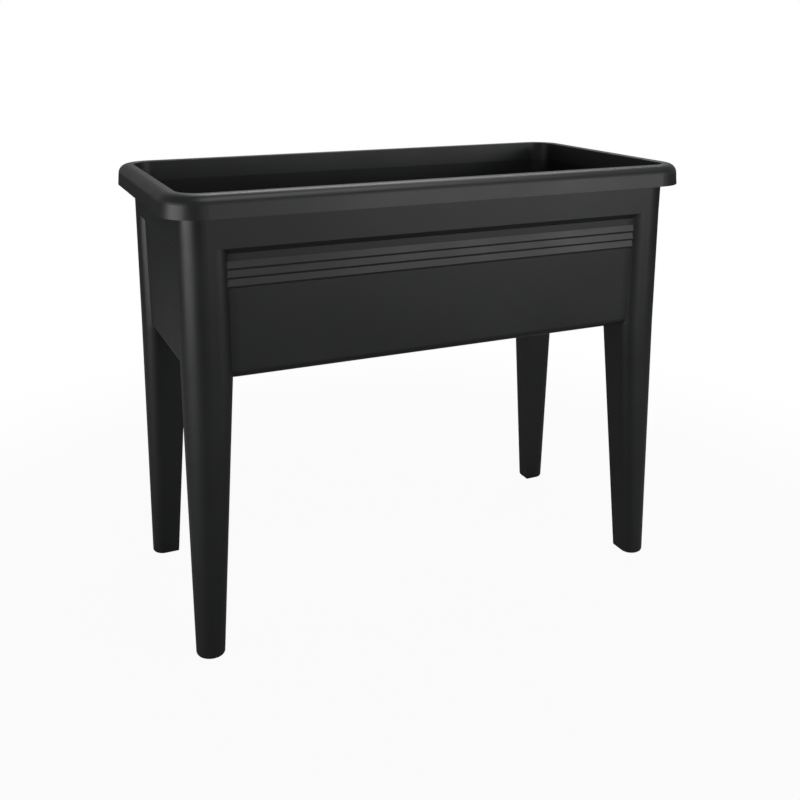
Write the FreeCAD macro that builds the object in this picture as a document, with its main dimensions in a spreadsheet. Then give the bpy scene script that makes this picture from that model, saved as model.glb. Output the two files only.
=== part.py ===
# Raised garden bed: a moulded trough with a rolled rim, standing on four plug-in legs.
# Millimetres, +Z up. The origin is on the ground under the middle of the trough,
# X runs along the length and the front faces -Y.
import FreeCAD
import Part
import Sketcher
import math
import os

# Driving dimensions, one cell of the sheet each
SIZES = {
    # Overall
    "tub_length": 800.0,
    "tub_width": 405.5,
    "total_height": 643.5,
    "leg_height": 392.2,
    # Rolled rim
    "rim_height": 30.7,
    "rim_corner": 54.0,
    "rim_draft": 2.3,
    "rim_round": 14.0,
    "rim_width": 24.0,
    "rim_inner_round": 2.0,
    "lip_wall": 3.0,
    # Posts and the band under the rim
    "overhang": 23.6,
    "lean": 4.0,
    "band_height": 43.3,
    "post_width": 63.7,
    "post_corner": 32.0,
    "post_edge": 21.0,
    # Recessed panels and their reeds
    "setback_top": 7.0,
    "setback_base": 9.0,
    "base_round": 11.0,
    "ledge_slope": 8.0,
    "reed_drop": 18.3,
    "reed_pitch": 12.0,
    "reed_depth": 1.2,
    "reed_slope": 3.0,
    # Moulded walls
    "wall": 3.0,
    "floor_thickness": 4.0,
    "cavity_corner": 60.0,
    # Legs
    "foot_width": 38.5,
    "foot_corner": 24.0,
    "foot_edge": 19.0,
    "foot_round": 3.5,
    "foot_floor": 5.0,
    "leg_wall": 3.5,
    "tongue_height": 120.0,
    "tongue_wall": 3.0,
    "tongue_root": 30.0,
    "socket_fit": 0.4,
    "bead_depth": 0.8,
    "bead_height": 8.0,
    "bead_drop": 22.0,
    # Drains in the floor
    "drain_spacing": 360.0,
    "bore_radius": 12.2,
    "collar_wall": 4.0,
    "collar_height": 14.0,
    # Overflow plugs
    "plug_fit": 0.15,
    "plug_wall": 3.0,
    "pipe_bore": 4.0,
    "pipe_wall": 2.5,
    "overflow_height": 30.0,
    "head_radius": 21.0,
    "head_thickness": 4.0,
    "grip_length": 30.0,
    "grip_width": 6.0,
    "grip_height": 14.0,
    "stop_gap": 0.2,
    # Seal rings on the plugs
    "seal_section": 1.5,
    "seal_fit": 0.05,
    # Lift-out soil grid
    "grid_rise": 42.0,
    "grid_thickness": 3.0,
    "grid_gap": 3.0,
    "grid_margin": 26.0,
    "slot_length": 30.0,
    "slot_width": 6.0,
    "pillar_radius": 13.0,
    "pillar_wall": 2.5,
    "pillar_inset_x": 70.0,
    "pillar_inset_y": 59.0,
}

REED_COUNT = 3
SLOT_COLUMNS = 11
SLOT_ROWS = 8
PILLAR_COLUMNS = 4
PILLAR_ROWS = 2

# Small fixed lengths: runs past a cut, sinks of a join, least radii and steps
PAST = 1.0
SINK = 1.0
BEAD_SINK = 0.3
CORE_STEP = 0.6
ARM_GAP = 1.5
LEAST_RADIUS = 1.0
UNDERSIDE_ROUND = 2.0
LEDGE_STEP = 0.4
LEVEL = 0.01

# Largest radii as shares of the width that they round
FOOT_CORNER_SHARE = 0.53
FOOT_EDGE_SHARE = 0.45
SLOT_END_SHARE = 0.45

# Shares of a post's round edge that the reeds run into and that the sockets keep clear of
REED_RUN = 0.8
SOCKET_EDGE_SHARE = 0.67

# Quarter turns that carry the front left corner to each corner, with its signs in X and Y
CORNERS = {
    "front_left": (0, -1, -1),
    "front_right": (90, 1, -1),
    "rear_right": (180, 1, 1),
    "rear_left": (270, -1, 1),
}
SIDES = {"left": -1, "right": 1}


class Size:
    """A number that keeps the sheet expression it comes from."""

    def __init__(self, value, text):
        self.value = float(value)
        self.text = text

    def __add__(self, other):
        other = size(other)
        return Size(self.value + other.value, "(%s + %s)" % (self.text, other.text))

    def __sub__(self, other):
        other = size(other)
        return Size(self.value - other.value, "(%s - %s)" % (self.text, other.text))

    def __mul__(self, other):
        other = size(other)
        return Size(self.value * other.value, "(%s * %s)" % (self.text, other.text))

    def __truediv__(self, other):
        other = size(other)
        return Size(self.value / other.value, "(%s / %s)" % (self.text, other.text))

    def __neg__(self):
        return Size(-self.value, "(0 - %s)" % self.text)

    __radd__ = __add__
    __rmul__ = __mul__

    def __rsub__(self, other):
        return size(other) - self


def size(value):
    """Turns a plain number into a Size."""
    if isinstance(value, Size):
        return value
    return Size(value, repr(float(value)))


def at_least(a, b):
    """The larger of two sizes."""
    a, b = size(a), size(b)
    return Size(max(a.value, b.value), "max(%s; %s)" % (a.text, b.text))


def at_most(a, b):
    """The smaller of two sizes."""
    a, b = size(a), size(b)
    return Size(min(a.value, b.value), "min(%s; %s)" % (a.text, b.text))


doc = FreeCAD.newDocument("raised_garden_bed")
sheet = doc.addObject("Spreadsheet::Sheet", "sizes")
S = {}
for row, (alias, number) in enumerate(SIZES.items(), start=1):
    sheet.set("A%d" % row, alias)
    sheet.set("B%d" % row, str(number))
    sheet.setAlias("B%d" % row, alias)
    S[alias] = Size(number, "sizes." + alias)
doc.recompute()

# Levels
BASE_Z = S["leg_height"]
LIP_Z = S["total_height"] - S["rim_height"]
LEDGE_Z = LIP_Z - S["band_height"]
PANEL_TOP = LEDGE_Z - S["ledge_slope"]
FLOOR_Z = BASE_Z + S["floor_thickness"]
GROUND = size(0.0)
ORIGIN = (size(0.0), size(0.0), 0)


def post_half(span, z):
    """Half the distance between the outer faces of opposite posts at height z."""
    return span / 2 - S["overhang"] - S["lean"] * (1 - z / LIP_Z)


def setback(z):
    """Depth of the panels behind the posts' outer faces at height z."""
    rise = (z - BASE_Z) / (LEDGE_Z - BASE_Z)
    return S["setback_base"] + (S["setback_top"] - S["setback_base"]) * rise


def panel_half(span, z):
    """Half the distance between opposite panels at height z."""
    return post_half(span, z) - setback(z)


def ledge_half(span, z):
    """Half the distance between the upper ends of the slopes that lead from opposite panels out to the band."""
    return post_half(span, z) - LEDGE_STEP


def corner_frame(corner):
    """Foot corner of a post: its X and Y, and the turn that points its local axes inwards."""
    turn, sign_x, sign_y = CORNERS[corner]
    return post_half(S["tub_length"], GROUND) * sign_x, post_half(S["tub_width"], GROUND) * sign_y, turn


def post_face(z):
    """Local place of a post's outer faces at height z, from the foot corner."""
    return -(S["lean"] * (z / LIP_Z))


def bind(target, path, value):
    """Sets a property of an object by the value's expression."""
    target.setExpression(path, value.text)


def corner_points(before, here, after, radius):
    """Tangent points and centre of an arc that rounds one corner of an outline."""
    to_before = (before - here).normalize()
    to_after = (after - here).normalize()
    half_angle = to_before.getAngle(to_after) / 2
    reach = radius / math.tan(half_angle)
    middle = (to_before + to_after).normalize()
    return here + to_before * reach, here + to_after * reach, here + middle * (radius / math.sin(half_angle))


def draw_outline(sketch, corners):
    """Draws a closed anticlockwise outline through corners (x, y, radius); a radius of None is sharp."""
    points = [FreeCAD.Vector(size(x).value, size(y).value, 0) for x, y, radius in corners]
    count = len(corners)
    starts, ends, arcs = [], [], []
    for i, (x, y, radius) in enumerate(corners):
        before, here, after = points[i - 1], points[i], points[(i + 1) % count]
        if radius is None:
            starts.append(here)
            ends.append(here)
            arcs.append(None)
            continue
        start, end, centre = corner_points(before, here, after, size(radius).value)
        turns_left = (here - before).cross(after - here).z > 0
        first, last = (start, end) if turns_left else (end, start)
        angles = [math.atan2(p.y - centre.y, p.x - centre.x) for p in (first, last)]
        circle = Part.Circle(centre, FreeCAD.Vector(0, 0, 1), size(radius).value)
        arcs.append((Part.ArcOfCircle(circle, angles[0], angles[1]), turns_left))
        starts.append(start)
        ends.append(end)
    lines = [sketch.addGeometry(Part.LineSegment(ends[i], starts[(i + 1) % count]), False) for i in range(count)]
    marks = [sketch.addGeometry(Part.Point(point), True) for point in points]
    for i, (x, y, radius) in enumerate(corners):
        for axis, value in (("X", size(x)), ("Y", size(y))):
            number = sketch.addConstraint(
                Sketcher.Constraint("Distance" + axis, -1, 1, marks[i], 1, value.value))
            sketch.renameConstraint(number, "corner%d%s" % (i, axis))
            bind(sketch, "Constraints.corner%d%s" % (i, axis), value)
        if arcs[i] is None:
            sketch.addConstraint(Sketcher.Constraint("Coincident", lines[i - 1], 2, marks[i], 1))
            sketch.addConstraint(Sketcher.Constraint("Coincident", lines[i], 1, marks[i], 1))
            continue
        arc, turns_left = arcs[i]
        bend = sketch.addGeometry(arc, False)
        near, far = (1, 2) if turns_left else (2, 1)
        sketch.addConstraint(Sketcher.Constraint("PointOnObject", marks[i], 1, lines[i - 1]))
        sketch.addConstraint(Sketcher.Constraint("PointOnObject", marks[i], 1, lines[i]))
        sketch.addConstraint(Sketcher.Constraint("Tangent", lines[i - 1], 2, bend, near))
        sketch.addConstraint(Sketcher.Constraint("Tangent", bend, far, lines[i], 1))
        number = sketch.addConstraint(Sketcher.Constraint("Radius", bend, size(radius).value))
        sketch.renameConstraint(number, "round%d" % i)
        bind(sketch, "Constraints.round%d" % i, size(radius))


def section(name, frame, z, corners):
    """A level outline at height z, in a frame (x, y, turn about Z)."""
    x, y, turn = frame
    sketch = doc.addObject("Sketcher::SketchObject", name)
    turned = FreeCAD.Rotation(FreeCAD.Vector(0, 0, 1), turn)
    sketch.Placement = FreeCAD.Placement(FreeCAD.Vector(x.value, y.value, z.value), turned)
    for axis, value in (("x", x), ("y", y), ("z", z)):
        bind(sketch, "Placement.Base." + axis, value)
    draw_outline(sketch, corners)
    return sketch


def upright(name, x, corners):
    """An outline in a plane across the length at x, drawn with Y to the right and Z up."""
    sketch = doc.addObject("Sketcher::SketchObject", name)
    axes = (FreeCAD.Vector(0, 1, 0), FreeCAD.Vector(0, 0, 1), FreeCAD.Vector(1, 0, 0))
    sketch.Placement = FreeCAD.Placement(FreeCAD.Vector(x.value, 0, 0), FreeCAD.Rotation(*axes, "ZXY"))
    bind(sketch, "Placement.Base.x", x)
    draw_outline(sketch, corners)
    return sketch


def loft(name, sections):
    """A solid with straight sides through level outlines."""
    solid = doc.addObject("Part::Loft", name)
    solid.Sections = sections
    solid.Solid = True
    solid.Ruled = True
    return solid


def fuse(name, shapes):
    """Joins shapes into one solid."""
    joined = doc.addObject("Part::MultiFuse", name)
    joined.Shapes = shapes
    joined.Refine = False
    return joined


def cut(name, base, tool):
    """Takes one shape out of another."""
    rest = doc.addObject("Part::Cut", name)
    rest.Base = base
    rest.Tool = tool
    rest.Refine = False
    return rest


def round_bottom(name, base, radius):
    """Rounds every edge of a solid's lowest face."""
    doc.recompute()
    low = base.Shape.BoundBox.ZMin
    rounded = doc.addObject("Part::Fillet", name)
    rounded.Base = base
    flat = [i for i, edge in enumerate(base.Shape.Edges, start=1) if edge.BoundBox.ZMax < low + LEVEL]
    rounded.Edges = [(i, radius.value, radius.value) for i in flat]
    return rounded


def rectangle(half_x, half_y, radius):
    """Corners of a centred rectangle with rounded corners, from the front left."""
    return [(-half_x, -half_y, radius), (half_x, -half_y, radius), (half_x, half_y, radius), (-half_x, half_y, radius)]


def square(face, width, outer, edge):
    """Corners of a post section: round outside and along its sides, sharp at its innermost corner."""
    far = face + width
    return [(face, face, outer), (far, face, edge), (far, far, None), (face, far, edge)]


def ring(name, z, half, radius):
    """A level rounded rectangle whose half sizes come from half(span, z)."""
    return section(name, ORIGIN, z, rectangle(half(S["tub_length"], z), half(S["tub_width"], z), radius))


def inner_panel(span, z):
    """Half the width of the soil space between the panels."""
    return panel_half(span, z) - S["wall"]


def inner_band(span, z):
    """Half the width of the soil space inside the band."""
    return post_half(span, z) - S["wall"]


# Leg socket: a three-cornered hollow in each corner of the tub

def socket_chord(z):
    """Length that a socket takes up along each post face, clear of the soil space and of the post's round edge."""
    reach = S["cavity_corner"] + S["wall"]
    to_soil = 2 * (setback(z) + reach) - math.sqrt(2) * reach
    return at_most(to_soil, S["post_width"] - S["post_edge"] * SOCKET_EDGE_SHARE)


def socket_outline(z, skin, chord):
    """Corners of the socket at height z, a skin's thickness inside the post's faces."""
    face = post_face(z) + skin
    far = post_face(z) + chord
    return [(face, face, at_least(S["post_corner"] - skin, LEAST_RADIUS)), (far, face, None), (face, far, None)]


def angle_outline(z, outside, inside):
    """Corners of the leg's angle-shaped tongue between two depths behind the post's faces."""
    face = post_face(z) + outside
    back = post_face(z) + inside
    tip = post_face(z) + socket_chord(z) - (S["wall"] + S["socket_fit"] + S["tongue_wall"] + ARM_GAP)
    outer = at_least(S["post_corner"] - outside, LEAST_RADIUS)
    inner = at_least(S["post_corner"] - inside, LEAST_RADIUS)
    return [(face, face, outer), (tip, face, None), (tip, back, None),
            (back, back, inner), (back, tip, None), (face, tip, None)]


BEAD_Z = BASE_Z + S["tongue_height"] - S["bead_drop"]


def bead_levels(spread):
    """Heights of a snap bead's lower edge, crest and upper edge."""
    half = S["bead_height"] / 2 + spread
    return BEAD_Z - half, BEAD_Z, BEAD_Z + half


def socket(corner):
    """Hollow of one corner of the tub, with the groove that the leg's bead clicks into."""
    frame = corner_frame(corner)
    name = "socket_" + corner
    outlines = []
    for z, level in ((BASE_Z, BASE_Z - PAST), (LEDGE_Z, LEDGE_Z)):
        outlines.append(section("%s_%d" % (name, len(outlines)), frame, level,
                                socket_outline(z, S["wall"], socket_chord(z))))
    groove = []
    depths = (S["wall"] + BEAD_SINK, S["wall"] - S["bead_depth"] - S["socket_fit"] / 2, S["wall"] + BEAD_SINK)
    for z, skin in zip(bead_levels(S["socket_fit"]), depths):
        groove.append(section("%s_groove_%d" % (name, len(groove)), frame, z,
                              socket_outline(z, skin, socket_chord(z) - SINK)))
    return [loft(name, outlines), loft(name + "_groove", groove)]


def post(corner):
    """One corner post of the tub, from its underside to the band."""
    frame = corner_frame(corner)
    outlines = []
    for z in (BASE_Z, LEDGE_Z):
        outlines.append(section("post_%s_%d" % (corner, len(outlines)), frame, z,
                                square(post_face(z), S["post_width"], S["post_corner"], S["post_edge"])))
    return loft("post_" + corner, outlines)


def rim():
    """Rolled rim: an inverted channel carried round the lip."""
    lip = section("lip_line", ORIGIN, LIP_Z, rectangle(S["tub_length"] / 2, S["tub_width"] / 2, S["rim_corner"]))
    edge = -(S["tub_width"] / 2)
    top = S["total_height"]
    under = top - S["lip_wall"]
    profile = upright("rim_profile", -(S["tub_length"] / 2 - S["rim_corner"]), [
        (edge, LIP_Z, None),
        (edge + S["lip_wall"], LIP_Z, None),
        (edge + S["lip_wall"] + S["rim_draft"], under, at_least(S["rim_round"] - S["lip_wall"], LEAST_RADIUS)),
        (edge + S["rim_width"] - S["wall"], under, UNDERSIDE_ROUND),
        (edge + S["overhang"], LIP_Z, None),
        (edge + S["overhang"] + S["wall"], LIP_Z, None),
        (edge + S["rim_width"], top, S["rim_inner_round"]),
        (edge + S["rim_draft"], top, S["rim_round"]),
    ])
    doc.recompute()
    channel = doc.addObject("Part::Sweep", "rim")
    channel.Sections = [profile]
    channel.Spine = (lip, ["Edge%d" % (i + 1) for i in range(len(lip.Shape.Edges))])
    channel.Solid = True
    channel.Frenet = False
    return channel


def reeds(name, side):
    """Stepped reeds across one long panel: each leans out to its lip, then slopes back under it."""
    top = LEDGE_Z - S["reed_drop"]

    def face(z, proud):
        return side * (panel_half(S["tub_width"], z) + proud)

    outline = [(face(top, 0.0), top, None)]
    for i in range(REED_COUNT):
        low = top - S["reed_pitch"] * (i + 1)
        lip = low + S["reed_slope"]
        outline.append((face(lip, S["reed_depth"]), lip, None))
        outline.append((face(low, 0.0), low, None))
    bottom = top - S["reed_pitch"] * REED_COUNT
    outline.append((face(bottom, -SINK), bottom, None))
    outline.append((face(top, -SINK), top, None))
    if side > 0:
        outline.reverse()
    half = post_half(S["tub_length"], bottom) - S["post_width"] + S["post_edge"] * REED_RUN
    strip = doc.addObject("Part::Extrusion", name)
    strip.Base = upright(name + "_profile", -half, outline)
    strip.DirMode = "Custom"
    strip.Dir = FreeCAD.Vector(1, 0, 0)
    strip.Solid = True
    strip.LengthFwd = 2 * half.value
    bind(strip, "LengthFwd", 2 * half)
    return strip


def cylinder(name, x, z, radius, height):
    """An upright round bar on the tub's long centre line."""
    bar = doc.addObject("Part::Cylinder", name)
    bar.Radius = radius.value
    bar.Height = height.value
    bar.Placement.Base = FreeCAD.Vector(x.value, 0, z.value)
    bind(bar, "Radius", radius)
    bind(bar, "Height", height)
    bind(bar, "Placement.Base.x", x)
    bind(bar, "Placement.Base.z", z)
    return bar


def drain_x(side):
    """Place of a drain along the length."""
    return S["drain_spacing"] / 2 * SIDES[side]


def tub():
    """Trough with its posts, band, reeds and rim, hollowed for soil, leg sockets and drains."""
    outer_corner = S["cavity_corner"] + S["wall"]
    trough = loft("trough", [ring("trough_base", BASE_Z, panel_half, outer_corner),
                             ring("trough_panel", PANEL_TOP, panel_half, outer_corner),
                             ring("trough_ledge", LEDGE_Z, ledge_half, outer_corner)])
    band = loft("band", [ring("band_ledge", LEDGE_Z, post_half, S["post_corner"]),
                         ring("band_lip", LIP_Z, post_half, S["rim_corner"] - S["overhang"])])
    body = [round_bottom("trough_rounded", trough, S["base_round"]), band, rim()]
    body += [post(corner) for corner in CORNERS]
    body += [reeds("reeds_front", -1), reeds("reeds_rear", 1)]
    outside = fuse("tub_outside", body)

    soil = loft("soil_space", [ring("soil_floor", FLOOR_Z, inner_panel, S["cavity_corner"]),
                               ring("soil_top", LIP_Z + PAST, inner_panel, S["cavity_corner"])])
    soil_round = at_least(S["base_round"] - S["wall"], LEAST_RADIUS)
    shelf_z = LEDGE_Z + S["wall"]
    band_round = at_least(S["post_corner"] - S["wall"], LEAST_RADIUS)
    lip_round = at_least(S["rim_corner"] - S["overhang"] - S["wall"], LEAST_RADIUS)
    band_space = loft("band_space", [ring("band_space_low", shelf_z, inner_band, band_round),
                                     ring("band_space_lip", LIP_Z, inner_band, lip_round),
                                     ring("band_space_top", LIP_Z + PAST, inner_band, lip_round)])
    hollows = [round_bottom("soil_space_rounded", soil, soil_round), band_space]
    for corner in CORNERS:
        hollows += socket(corner)
    shell = cut("tub_shell", outside, fuse("tub_hollows", hollows))

    collars = [cylinder("collar_" + side, drain_x(side), FLOOR_Z - SINK, S["bore_radius"] + S["collar_wall"],
                        S["collar_height"] + SINK) for side in SIDES]
    bores = [cylinder("bore_" + side, drain_x(side), BASE_Z - PAST, S["bore_radius"],
                      S["floor_thickness"] + S["collar_height"] + 2 * PAST) for side in SIDES]
    return cut("tub", fuse("tub_collared", [shell] + collars), fuse("drain_bores", bores))


def leg(corner):
    """Hollow tapered leg with an angle-shaped tongue that clicks into the tub's corner socket."""
    frame = corner_frame(corner)
    name = "leg_" + corner
    edge = at_most(S["foot_edge"], S["foot_width"] * FOOT_EDGE_SHARE)
    outer = at_most(S["foot_corner"], S["foot_width"] * FOOT_CORNER_SHARE)
    shaft = loft(name + "_shaft", [
        section(name + "_foot", frame, GROUND, square(post_face(GROUND), S["foot_width"], outer, edge)),
        section(name + "_top", frame, BASE_Z, square(post_face(BASE_Z), S["post_width"], S["post_corner"],
                                                     S["post_edge"])),
    ])
    outside = S["wall"] + S["socket_fit"]
    inside = outside + S["tongue_wall"]
    tongue_top = BASE_Z + S["tongue_height"]
    tongue = loft(name + "_tongue", [
        section("%s_tongue_%d" % (name, i), frame, z, angle_outline(z, outside, inside))
        for i, z in enumerate((BASE_Z, tongue_top))])
    crest = (outside + BEAD_SINK, outside - S["bead_depth"], outside + BEAD_SINK)
    bead = loft(name + "_bead", [
        section("%s_bead_%d" % (name, i), frame, z, angle_outline(z, depth, inside - SINK))
        for i, (z, depth) in enumerate(zip(bead_levels(size(0.0)), crest))])
    solid = fuse(name + "_solid", [round_bottom(name + "_rounded", shaft, S["foot_round"]), tongue, bead])

    core_levels = (
        (S["foot_floor"], S["leg_wall"]),
        (BASE_Z - S["tongue_root"], S["leg_wall"]),
        (BASE_Z, inside + CORE_STEP),
    )
    outlines = []
    for z, skin in core_levels:
        share = z / BASE_Z
        width = S["foot_width"] + (S["post_width"] - S["foot_width"]) * share - 2 * skin
        round_outer = at_least(outer + (S["post_corner"] - outer) * share - skin, LEAST_RADIUS)
        round_edge = at_least(edge + (S["post_edge"] - edge) * share - skin, LEAST_RADIUS)
        outlines.append(section("%s_core_%d" % (name, len(outlines)), frame, z,
                                square(post_face(z) + skin, width, round_outer, round_edge)))
    core = loft(name + "_core", outlines)
    return cut(name, solid, core)


def body_plane(body, role):
    """One of a body's own origin planes."""
    return [plane for plane in body.Origin.OriginFeatures if plane.Role == role][0]


def body_sketch(body, name, role, corners, lift=None):
    """An outline on one of a body's origin planes, raised along the plane's normal."""
    sketch = body.newObject("Sketcher::SketchObject", name)
    sketch.AttachmentSupport = [(body_plane(body, role), "")]
    sketch.MapMode = "FlatFace"
    if lift is not None:
        sketch.AttachmentOffset = FreeCAD.Placement(FreeCAD.Vector(0, 0, lift.value), FreeCAD.Rotation())
        bind(sketch, "AttachmentOffset.Base.z", lift)
    draw_outline(sketch, corners)
    return sketch


def body_circle(body, name, x, y, radius, lift):
    """A level circle in a body."""
    sketch = body.newObject("Sketcher::SketchObject", name)
    sketch.AttachmentSupport = [(body_plane(body, "XY_Plane"), "")]
    sketch.MapMode = "FlatFace"
    sketch.AttachmentOffset = FreeCAD.Placement(FreeCAD.Vector(0, 0, lift.value), FreeCAD.Rotation())
    bind(sketch, "AttachmentOffset.Base.z", lift)
    centre = FreeCAD.Vector(x.value, y.value, 0)
    ring_edge = sketch.addGeometry(Part.Circle(centre, FreeCAD.Vector(0, 0, 1), radius.value), False)
    sketch.addConstraint(Sketcher.Constraint("DistanceX", -1, 1, ring_edge, 3, x.value))
    sketch.addConstraint(Sketcher.Constraint("DistanceY", -1, 1, ring_edge, 3, y.value))
    sketch.addConstraint(Sketcher.Constraint("Radius", ring_edge, radius.value))
    for number, (label, value) in enumerate((("centre_x", x), ("centre_y", y), ("round", radius))):
        sketch.renameConstraint(number, label)
        bind(sketch, "Constraints." + label, value)
    return sketch


def pad(body, name, sketch, length, down=False):
    """A straight raise of an outline in a body."""
    feature = body.newObject("PartDesign::Pad", name)
    feature.Profile = sketch
    feature.Length = length.value
    feature.Reversed = down
    bind(feature, "Length", length)
    doc.recompute()
    return feature


def pocket(body, name, sketch, length, down=True):
    """A straight cut of an outline in a body; it has to take material away."""
    before = body.Shape.Volume
    feature = body.newObject("PartDesign::Pocket", name)
    feature.Profile = sketch
    feature.Length = length.value
    feature.Reversed = not down
    bind(feature, "Length", length)
    doc.recompute()
    if body.Shape.Volume > before - 1.0:
        raise RuntimeError(name + " cuts nothing")
    return feature


def grid_repeat(body, name, features, sketch, columns, rows, span_x, span_y):
    """Repeats features in columns along X and rows along Y over the given spans."""
    steps = []
    transform = body.newObject("PartDesign::MultiTransform", name)
    transform.Originals = features
    for axis, count, span in (("H_Axis", columns, span_x), ("V_Axis", rows, span_y)):
        step = body.newObject("PartDesign::LinearPattern", "%s_%s" % (name, axis))
        step.Direction = (sketch, [axis])
        step.Length = span.value
        step.Occurrences = count
        bind(step, "Length", span)
        steps.append(step)
    transform.Transformations = steps
    body.Tip = transform
    doc.recompute()
    return transform


def soil_grid():
    """Perforated false floor on short hollow pillars, with room for water under it."""
    body = doc.addObject("PartDesign::Body", "soil_grid")
    foot_z = FLOOR_Z + S["stop_gap"]
    plate_z = FLOOR_Z + S["grid_rise"]
    half_x = inner_panel(S["tub_length"], plate_z) - S["grid_gap"]
    half_y = inner_panel(S["tub_width"], plate_z) - S["grid_gap"]
    corner = at_least(S["cavity_corner"] - S["grid_gap"], LEAST_RADIUS)
    plate = body_sketch(body, "grid_plate_outline", "XY_Plane", rectangle(half_x, half_y, corner), plate_z)
    pad(body, "grid_plate", plate, S["grid_thickness"])

    first_x = -(half_x - S["pillar_inset_x"])
    first_y = -(half_y - S["pillar_inset_y"])
    bar = body_circle(body, "grid_pillar_outline", first_x, first_y, S["pillar_radius"], foot_z)
    pillar = pad(body, "grid_pillar", bar, plate_z - foot_z + SINK)
    grid_repeat(body, "grid_pillars", [pillar], bar, PILLAR_COLUMNS, PILLAR_ROWS, -2 * first_x, -2 * first_y)
    hole = body_circle(body, "grid_core_outline", first_x, first_y, S["pillar_radius"] - S["pillar_wall"], foot_z)
    core = pocket(body, "grid_core", hole, plate_z - foot_z, down=False)
    grid_repeat(body, "grid_cores", [core], hole, PILLAR_COLUMNS, PILLAR_ROWS, -2 * first_x, -2 * first_y)

    reach_x = half_x - S["grid_margin"] - S["slot_length"] / 2
    reach_y = half_y - S["grid_margin"] - S["slot_width"] / 2
    low_x, low_y = -reach_x - S["slot_length"] / 2, -reach_y - S["slot_width"] / 2
    end = S["slot_width"] * SLOT_END_SHARE
    outline = [(low_x, low_y, end), (low_x + S["slot_length"], low_y, end),
               (low_x + S["slot_length"], low_y + S["slot_width"], end), (low_x, low_y + S["slot_width"], end)]
    slot_sketch = body_sketch(body, "grid_slot_outline", "XY_Plane", outline, plate_z + S["grid_thickness"])
    slot = pocket(body, "grid_slot", slot_sketch, S["grid_thickness"])
    grid_repeat(body, "grid_slots", [slot], slot_sketch, SLOT_COLUMNS, SLOT_ROWS, 2 * reach_x, 2 * reach_y)
    return body


SEAL_RING = S["bore_radius"] - S["seal_fit"] - S["seal_section"]
SEAL_Z = FLOOR_Z + S["collar_height"] / 2


def turned(name, side, corners):
    """A body turned about the upright axis of one drain."""
    body = doc.addObject("PartDesign::Body", name)
    sketch = body_sketch(body, name + "_profile", "XZ_Plane", corners)
    turn = body.newObject("PartDesign::Revolution", name + "_turn")
    turn.Profile = sketch
    turn.ReferenceAxis = (sketch, ["V_Axis"])
    turn.Angle = 360.0
    body.Placement.Base = FreeCAD.Vector(drain_x(side).value, 0, 0)
    bind(body, "Placement.Base.x", drain_x(side))
    doc.recompute()
    return body


def drain_plug(side):
    """Push-in plug with a seal groove, a grip below and a slim standpipe that sets the water level."""
    stem = S["bore_radius"] - S["plug_fit"]
    head_top = BASE_Z - S["stop_gap"]
    head_low = head_top - S["head_thickness"]
    shoulder = FLOOR_Z + S["collar_height"]
    pipe_top = FLOOR_Z + S["overflow_height"]
    groove = SEAL_RING - S["seal_section"] - S["seal_fit"]
    groove_half = S["seal_section"] + 2 * S["seal_fit"]
    hollow = at_least(groove - S["plug_wall"], S["pipe_bore"] + LEAST_RADIUS)
    roof = shoulder - S["plug_wall"]
    pipe = S["pipe_bore"] + S["pipe_wall"]
    name = "drain_plug_" + side
    body = turned(name, side, [
        (hollow, head_low, None), (S["head_radius"], head_low, None), (S["head_radius"], head_top, None),
        (stem, head_top, None), (stem, SEAL_Z - groove_half, None), (groove, SEAL_Z - groove_half, None),
        (groove, SEAL_Z + groove_half, None), (stem, SEAL_Z + groove_half, None), (stem, shoulder, None),
        (pipe, shoulder, None), (pipe, pipe_top, None), (S["pipe_bore"], pipe_top, None),
        (S["pipe_bore"], roof, None), (hollow, roof, None),
    ])
    half, gap = S["grip_length"] / 2, hollow
    for end in (-1, 1):
        low, high = (gap, half) if end > 0 else (-half, -gap)
        grip = body_sketch(body, "%s_grip_%d" % (name, end + 1), "XY_Plane", [
            (low, -S["grip_width"] / 2, None), (high, -S["grip_width"] / 2, None),
            (high, S["grip_width"] / 2, None), (low, S["grip_width"] / 2, None)], head_low + SINK)
        pad(body, "%s_grip_pad_%d" % (name, end + 1), grip, S["grip_height"] + SINK, down=True)
    return body


def plug_seal(side):
    """Rubber ring in the plug's groove."""
    ring_shape = doc.addObject("Part::Torus", "plug_seal_" + side)
    ring_shape.Radius1 = SEAL_RING.value
    ring_shape.Radius2 = S["seal_section"].value
    ring_shape.Placement.Base = FreeCAD.Vector(drain_x(side).value, 0, SEAL_Z.value)
    bind(ring_shape, "Radius1", SEAL_RING)
    bind(ring_shape, "Radius2", S["seal_section"])
    bind(ring_shape, "Placement.Base.x", drain_x(side))
    bind(ring_shape, "Placement.Base.z", SEAL_Z)
    return ring_shape


sub_parts = [tub()]
sub_parts += [leg(corner) for corner in CORNERS]
sub_parts += [soil_grid()]
for side_name in SIDES:
    sub_parts += [drain_plug(side_name), plug_seal(side_name)]
doc.recompute()

failed = [item.Name for item in doc.Objects if "Invalid" in item.State or "Error" in item.State]
if failed:
    raise RuntimeError("not rebuilt: " + ", ".join(failed))
for item in sub_parts:
    shape = item.Shape
    if shape.isNull() or not shape.isValid() or len(shape.Solids) != 1:
        raise RuntimeError("%s is not one valid solid" % item.Label)

os.makedirs("parts", exist_ok=True)
for item in sub_parts:
    item.Shape.exportStep(os.path.join("parts", item.Label + ".step"))
    print(item.Label, round(item.Shape.Volume / 1000.0, 1), "cm3")
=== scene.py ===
"""Raised garden bed in a plain studio: finishes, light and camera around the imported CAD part.

Everything is in metres, in the CAD part's own frame: X along the length, the front facing -Y, Z up,
and the origin on the ground under the middle of the trough.
"""
import logging
import math
from dataclasses import dataclass, replace
from enum import Enum
from typing import Any

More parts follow.
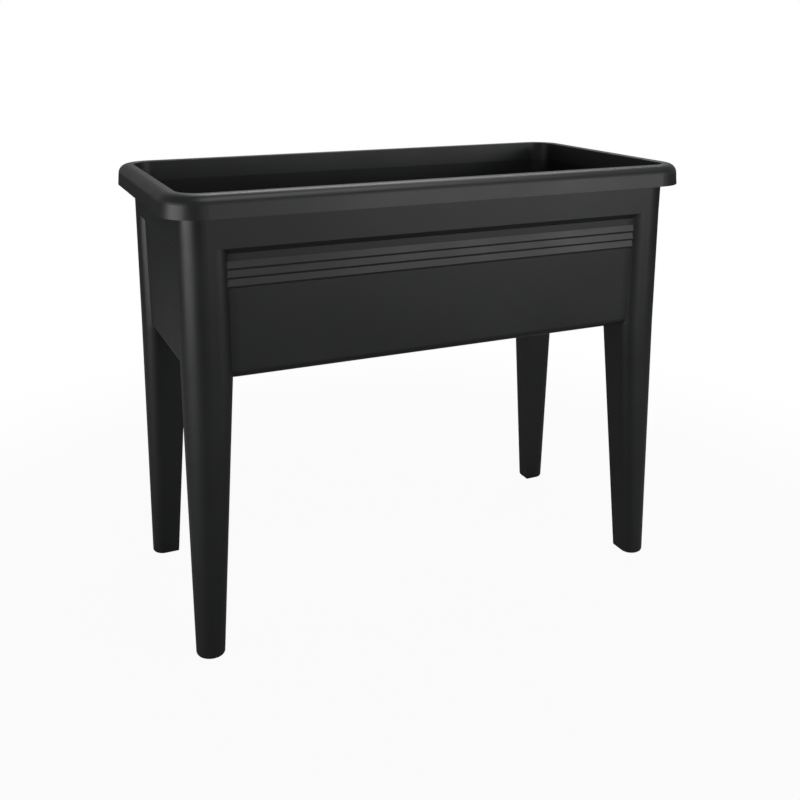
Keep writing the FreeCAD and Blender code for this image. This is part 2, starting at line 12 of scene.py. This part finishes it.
import bpy
import numpy as np
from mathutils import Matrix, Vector

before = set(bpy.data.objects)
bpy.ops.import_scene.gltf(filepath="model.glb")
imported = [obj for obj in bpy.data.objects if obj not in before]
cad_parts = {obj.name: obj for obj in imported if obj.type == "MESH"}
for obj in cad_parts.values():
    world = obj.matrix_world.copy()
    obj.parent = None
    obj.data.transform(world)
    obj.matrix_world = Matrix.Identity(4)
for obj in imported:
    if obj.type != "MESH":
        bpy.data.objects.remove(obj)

log = logging.getLogger("raised_garden_bed")
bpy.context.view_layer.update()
MM = 0.001
WHITE = (1.0, 1.0, 1.0, 1.0)
Settings = dict[str, Any]


def linear(hex_colour: str) -> tuple[float, float, float, float]:
    """Turns an sRGB hex colour into linear light.

    Args:
        hex_colour: six hex digits, such as "1e1f21".

    Returns:
        Red, green, blue and an alpha of 1.
    """
    parts = [int(hex_colour[i:i + 2], 16) / 255 for i in (0, 2, 4)]
    red, green, blue = (c / 12.92 if c <= 0.04045 else ((c + 0.055) / 1.055) ** 2.4 for c in parts)
    return red, green, blue, 1.0


def add_node(tree: bpy.types.NodeTree, kind: str, settings: Settings | None = None,
             **links: Any) -> bpy.types.Node:
    """Adds one node to a tree, sets it up and links it.

    Args:
        tree: node tree of a material or of the world.
        kind: Blender's name of the node's type.
        settings: properties of the node, by name.
        **links: inputs by name, with spaces written as underscores, or by number, as n0, n1 and so on.
            An output socket is linked, and a value is set.

    Returns:
        The new node.
    """
    node = tree.nodes.new(kind)
    for name, value in (settings or {}).items():
        setattr(node, name, value)
    for name, value in links.items():
        wanted = name.replace("_", " ")
        numbered = wanted[0] == "n" and wanted[1:].isdigit()
        socket = node.inputs[int(wanted[1:]) if numbered else wanted]
        if isinstance(value, bpy.types.NodeSocket):
            tree.links.new(value, socket)
        else:
            socket.default_value = value
    return node


def blend(tree: bpy.types.NodeTree, share: bpy.types.NodeSocket, first: Any,
          second: Any) -> bpy.types.NodeSocket:
    """Mixes two colours.

    Args:
        tree: node tree of a material.
        share: share of the second colour, from 0 to 1.
        first: colour, or a socket that gives one.
        second: colour, or a socket that gives one.

    Returns:
        The mixed colour.
    """
    return add_node(tree, "ShaderNodeMix", {"data_type": "RGBA"}, n0=share, n6=first, n7=second).outputs[2]


def combine(tree: bpy.types.NodeTree, operation: str, first: bpy.types.NodeSocket,
            second: bpy.types.NodeSocket) -> bpy.types.NodeSocket:
    """Joins two values by one step of arithmetic.

    Args:
        tree: node tree of a material or of the world.
        operation: Blender's name of the step, such as MULTIPLY.
        first: the one value.
        second: the other value.

    Returns:
        The result.
    """
    return add_node(tree, "ShaderNodeMath", {"operation": operation}, n0=first, n1=second).outputs["Value"]


def seen_directly(tree: bpy.types.NodeTree, rays: bpy.types.Node) -> bpy.types.NodeSocket:
    """Tells the rays of the eye from those that only carry light.

    Args:
        tree: node tree of a material or of the world.
        rays: the tree's light path node.

    Returns:
        1 for rays from the eye, also through clear things, and 0 for the rest.
    """
    return combine(tree, "MAXIMUM", rays.outputs["Is Camera Ray"], rays.outputs["Is Transmission Ray"])


def new_material(name: str) -> tuple[bpy.types.Material, bpy.types.NodeTree, bpy.types.NodeSocket]:
    """Starts an empty node material.

    Args:
        name: name of the material.

    Returns:
        The material, its node tree and its Object coordinates in metres.
    """
    made = bpy.data.materials.new(name)
    made.use_nodes = True
    tree = made.node_tree
    tree.nodes.clear()
    return made, tree, add_node(tree, "ShaderNodeTexCoord").outputs["Object"]


@dataclass(frozen=True)
class Noise:
    """A cloudy pattern at a real size, in millimetres."""

    size_mm: float
    detail: float = 2.0
    roughness: float = 0.5
    distortion: float = 0.0

    def add(self, tree: bpy.types.NodeTree, place: bpy.types.NodeSocket) -> bpy.types.NodeSocket:
        """Adds the pattern to a material.

        Args:
            tree: node tree of the material.
            place: Object coordinates in metres.

        Returns:
            The pattern's value, from 0 to 1.
        """
        cloud = add_node(tree, "ShaderNodeTexNoise", Vector=place, Scale=1.0 / (self.size_mm * MM),
                         Detail=self.detail, Roughness=self.roughness, Distortion=self.distortion)
        return cloud.outputs["Fac"]


class Grain(Enum):
    """How the mould's steel was finished, as the pattern of the grain that it leaves.

    The real grain is a few tenths of a millimetre. It is drawn coarser, so that it shows in the render.
    """

    SPARKED = Noise(0.9, roughness=0.6)
    BEAD_BLASTED = Noise(0.6, roughness=0.6)


@dataclass(frozen=True)
class MouldedPlastic:
    """Polypropylene, coloured through with carbon black and moulded against textured steel.

    The eye gets a charcoal black that is never quite even: a satin sheen broken by a fine pebbled grain,
    faint flow clouds a hand wide, and a thin grey film of dust on what faces up.
    """

    name: str
    body: str
    cloud: str
    dust: str
    roughness: float
    sheen_spread: float
    specular: float
    grain: Grain
    grain_depth: float
    grain_height_mm: float = 0.05
    flow: Noise = Noise(140.0, detail=3.0, roughness=0.55, distortion=0.4)
    flow_low: float = 0.3
    flow_high: float = 0.7
    specks: Noise = Noise(18.0, detail=6.0, roughness=0.7)
    dust_share: float = 0.25
    dust_from: float = 0.55
    ior: float = 1.49

    def material(self) -> bpy.types.Material:
        """Builds the finish as a node material.

        Returns:
            The material, on Object coordinates in metres.
        """
        made, tree, place = new_material(self.name)
        flow = self.flow.add(tree, place)
        tint = blend(tree, flow, linear(self.body), linear(self.cloud))
        surface = add_node(tree, "ShaderNodeNewGeometry")
        facing = add_node(tree, "ShaderNodeSeparateXYZ", Vector=surface.outputs["Normal"])
        up = add_node(tree, "ShaderNodeMapRange", {"interpolation_type": "SMOOTHSTEP"},
                      Value=facing.outputs["Z"], From_Min=self.dust_from, From_Max=1.0,
                      To_Min=0.0, To_Max=self.dust_share)
        film = combine(tree, "MULTIPLY", up.outputs["Result"], self.specks.add(tree, place))
        colour = blend(tree, film, tint, linear(self.dust))
        gloss = add_node(tree, "ShaderNodeMapRange", Value=flow, From_Min=self.flow_low,
                         From_Max=self.flow_high, To_Min=self.roughness - self.sheen_spread,
                         To_Max=self.roughness + self.sheen_spread)
        relief = add_node(tree, "ShaderNodeBump", Height=self.grain.value.add(tree, place),
                          Strength=self.grain_depth, Distance=self.grain_height_mm * MM)
        shader = add_node(tree, "ShaderNodeBsdfPrincipled", Base_Color=colour,
                          Roughness=gloss.outputs["Result"], IOR=self.ior,
                          Specular_IOR_Level=self.specular, Normal=relief.outputs["Normal"])
        add_node(tree, "ShaderNodeOutputMaterial", Surface=shader.outputs["BSDF"])
        return made


@dataclass(frozen=True)
class SealRubber:
    """Nitrile rubber, moulded and left bare: dead black, soft-looking, with a bloom of fine grey powder."""

    name: str = "nitrile_rubber_moulded"
    body: str = "101010"
    bloom: str = "2a2a29"
    powder: Noise = Noise(2.5, detail=4.0)
    roughness: float = 0.72

    def material(self) -> bpy.types.Material:
        """Builds the finish as a node material.

        Returns:
            The material, on Object coordinates in metres.
        """
        made, tree, place = new_material(self.name)
        colour = blend(tree, self.powder.add(tree, place), linear(self.body), linear(self.bloom))
        shader = add_node(tree, "ShaderNodeBsdfPrincipled", Base_Color=colour, Roughness=self.roughness)
        add_node(tree, "ShaderNodeOutputMaterial", Surface=shader.outputs["BSDF"])
        return made


TUB_FINISH = MouldedPlastic(
    name="polypropylene_sparked_satin", body="1b1c1e", cloud="202123", dust="3a3a39", roughness=0.42,
    sheen_spread=0.04, specular=0.45, grain=Grain.SPARKED, grain_depth=0.25)
LEG_FINISH = replace(TUB_FINISH, name="polypropylene_leg_satin", roughness=0.44)
GRID_FINISH = MouldedPlastic(
    name="polypropylene_grid_matt", body="141516", cloud="1a1b1c", dust="302f2d", roughness=0.6,
    sheen_spread=0.05, specular=0.15, grain=Grain.BEAD_BLASTED, grain_depth=0.3)
PLUG_FINISH = MouldedPlastic(
    name="polypropylene_plug_matt", body="131415", cloud="191a1b", dust="2a2a29", roughness=0.55,
    sheen_spread=0.05, specular=0.15, grain=Grain.BEAD_BLASTED, grain_depth=0.2)
SEAL_FINISH = SealRubber()


def dress(node: str, material: bpy.types.Material) -> None:
    """Puts a material on a CAD node in place of its packed one.

    Args:
        node: name of the CAD node.
        material: finish to show.
    """
    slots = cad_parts[node].data.materials
    slots.clear()
    slots.append(material)
    log.info("%s dressed in %s", node, material.name)


@dataclass
class Trough:
    """The one-piece tub."""

    finish: MouldedPlastic = TUB_FINISH

    def build(self) -> None:
        """Dresses the tub."""
        dress("tub", self.finish.material())


@dataclass
class LegSet:
    """The four plug-in legs, moulded in one tool."""

    finish: MouldedPlastic = LEG_FINISH
    corners: tuple[str, ...] = ("front_left", "front_right", "rear_left", "rear_right")

    def build(self) -> None:
        """Dresses the legs in one shared material."""
        material = self.finish.material()
        for corner in self.corners:
            dress("leg_" + corner, material)


@dataclass
class WaterWorks:
    """The soil grid and the drains: grid, plugs and seal rings."""

    grid_finish: MouldedPlastic = GRID_FINISH
    plug_finish: MouldedPlastic = PLUG_FINISH
    seal_finish: SealRubber = SEAL_FINISH
    sides: tuple[str, ...] = ("left", "right")

    def build(self) -> None:
        """Dresses the grid, the plugs and the seals."""
        dress("soil_grid", self.grid_finish.material())
        plug, seal = self.plug_finish.material(), self.seal_finish.material()
        for side in self.sides:
            dress("drain_plug_" + side, plug)
            dress("plug_seal_" + side, seal)


@dataclass
class Softbox:
    """A large rectangular lamp that looks at a point, with its power in watts. The camera doesn't see it."""

    name: str
    place: tuple[float, float, float]
    target: tuple[float, float, float]
    width: float
    height: float
    power: float

    def build(self) -> None:
        """Adds the lamp."""
        data = bpy.data.lights.new(self.name, "AREA")
        data.shape = "RECTANGLE"
        data.size = self.width
        data.size_y = self.height
        data.energy = self.power
        lamp = bpy.data.objects.new(self.name, data)
        bpy.context.collection.objects.link(lamp)
        lamp.visible_camera = False
        lamp.location = self.place
        lamp.rotation_euler = (Vector(self.target) - Vector(self.place)).to_track_quat("-Z", "Y").to_euler()


@dataclass
class Studio:
    """Pale floor that runs out to a white surround, lamps and the photograph's camera.

    The camera's yaw and pitch are in radians, and its focal length and centre in the photograph's pixels.
    """

    floor_colour: str = "9a9a9a"
    floor_cloud: str = "a2a2a2"
    floor_mottle: Noise = Noise(600.0)
    floor_half: float = 12.0
    floor_lines: int = 9
    near_white: float = 0.95
    fade_start: float = 0.5
    fade_end: float = 1.3
    ambient: float = 0.03
    gloss_white: float = 0.26
    focal_px: float = 995.6
    centre_px: tuple[float, float] = (389.4, 224.0)
    image_px: float = 800.0
    sensor_mm: float = 36.0
    yaw: float = 0.4171
    pitch: float = 0.1842
    eye: tuple[float, float, float] = (-0.6313, -1.3917, 0.8320)
    sight: float = 100.0
    lamps: tuple[Softbox, ...] = (
        Softbox("overhead", (0.3, -0.9, 2.2), (0.0, 0.0, 0.5), 1.6, 1.0, 13.5),
        Softbox("rear_high", (0.75, 1.2, 2.15), (0.0, 0.0, 0.6), 1.8, 0.9, 22.0),
        Softbox("low_left", (-2.0, -0.4, 0.45), (-0.3, -0.1, 0.45), 1.5, 0.6, 15.0),
        Softbox("fill_front", (0.0, -2.6, 0.5), (0.0, 0.0, 0.45), 1.2, 0.6, 3.5),
        Softbox("fill_right", (1.25, -2.1, 0.7), (0.0, 0.0, 0.45), 1.2, 0.7, 12.8),
    )

    def floor(self) -> None:
        """Lays a flat floor whose height over its grid of two parameters is zero everywhere."""
        along = np.linspace(-self.floor_half, self.floor_half, self.floor_lines)
        x, y = np.meshgrid(along, along, indexing="ij")
        points = np.stack([x, y, np.zeros_like(x)], axis=-1).reshape(-1, 3)
        ids = np.arange(points.shape[0]).reshape(x.shape)
        corners = [ids[:-1, :-1], ids[1:, :-1], ids[1:, 1:], ids[:-1, 1:]]
        faces = np.stack(corners, axis=-1).reshape(-1, len(corners))
        mesh = bpy.data.meshes.new("studio_floor")
        mesh.from_pydata(points.tolist(), [], faces.tolist())
        mesh.materials.append(self.floor_material())
        ground = bpy.data.objects.new("studio_floor", mesh)
        bpy.context.collection.objects.link(ground)

    def floor_material(self) -> bpy.types.Material:
        """Painted floor: seen directly it is nearly the surround's white, and it still takes the bed's shadow.

        Returns:
            The floor's material.
        """
        made, tree, place = new_material("floor_paint_matt")
        colour = blend(tree, self.floor_mottle.add(tree, place), linear(self.floor_colour),
                       linear(self.floor_cloud))
        paint = add_node(tree, "ShaderNodeBsdfDiffuse", Color=colour)
        white = add_node(tree, "ShaderNodeEmission", Color=WHITE, Strength=1.0)
        seen = seen_directly(tree, add_node(tree, "ShaderNodeLightPath"))
        reach = add_node(tree, "ShaderNodeVectorMath", {"operation": "LENGTH"}, n0=place)
        fade = add_node(tree, "ShaderNodeMapRange", {"interpolation_type": "SMOOTHSTEP"},
                        Value=reach.outputs["Value"], From_Min=self.fade_start, From_Max=self.fade_end,
                        To_Min=self.near_white, To_Max=1.0)
        share = combine(tree, "MULTIPLY", seen, fade.outputs["Result"])
        mixed = add_node(tree, "ShaderNodeMixShader", Fac=share, n1=paint.outputs["BSDF"],
                         n2=white.outputs["Emission"])
        add_node(tree, "ShaderNodeOutputMaterial", Surface=mixed.outputs["Shader"])
        return made

    def surround(self) -> None:
        """Surround that is white to the eye, and dimmer in the plastic's gloss and as scattered light."""
        world = bpy.data.worlds.new("studio_surround")
        world.use_nodes = True
        tree = world.node_tree
        tree.nodes.clear()
        rays = add_node(tree, "ShaderNodeLightPath")
        gloss = add_node(tree, "ShaderNodeMapRange", Value=rays.outputs["Is Glossy Ray"],
                         To_Min=self.ambient, To_Max=self.gloss_white)
        level = combine(tree, "MAXIMUM", seen_directly(tree, rays), gloss.outputs["Result"])
        light = add_node(tree, "ShaderNodeBackground", Color=WHITE, Strength=level)
        add_node(tree, "ShaderNodeOutputWorld", Surface=light.outputs["Background"])
        bpy.context.scene.world = world

    def camera(self) -> None:
        """Camera that looks down a little, with a vertical shift for the photograph's nearly upright legs."""
        data = bpy.data.cameras.new("photo_camera")
        data.sensor_fit = "HORIZONTAL"
        data.sensor_width = self.sensor_mm
        data.lens = self.focal_px * self.sensor_mm / self.image_px
        half = self.image_px / 2
        data.shift_x = (half - self.centre_px[0]) / self.image_px
        data.shift_y = (self.centre_px[1] - half) / self.image_px
        data.clip_end = self.sight
        view = bpy.data.objects.new("photo_camera", data)
        bpy.context.collection.objects.link(view)
        view.location = self.eye
        view.rotation_euler = (math.pi / 2 - self.pitch, 0.0, -self.yaw)
        bpy.context.scene.camera = view

    def build(self) -> None:
        """Builds the studio."""
        bpy.context.scene.view_settings.view_transform = "Standard"
        self.floor()
        self.surround()
        self.camera()
        for lamp in self.lamps:
            lamp.build()


def main() -> None:
    """Builds the sub-assemblies in order and reports each piece."""
    logging.basicConfig(level=logging.INFO, format="%(name)s: %(message)s")
    for part in (Trough(), LegSet(), WaterWorks(), Studio()):
        part.build()
        log.info("%s done", type(part).__name__)


if __name__ == "__main__":
    main()
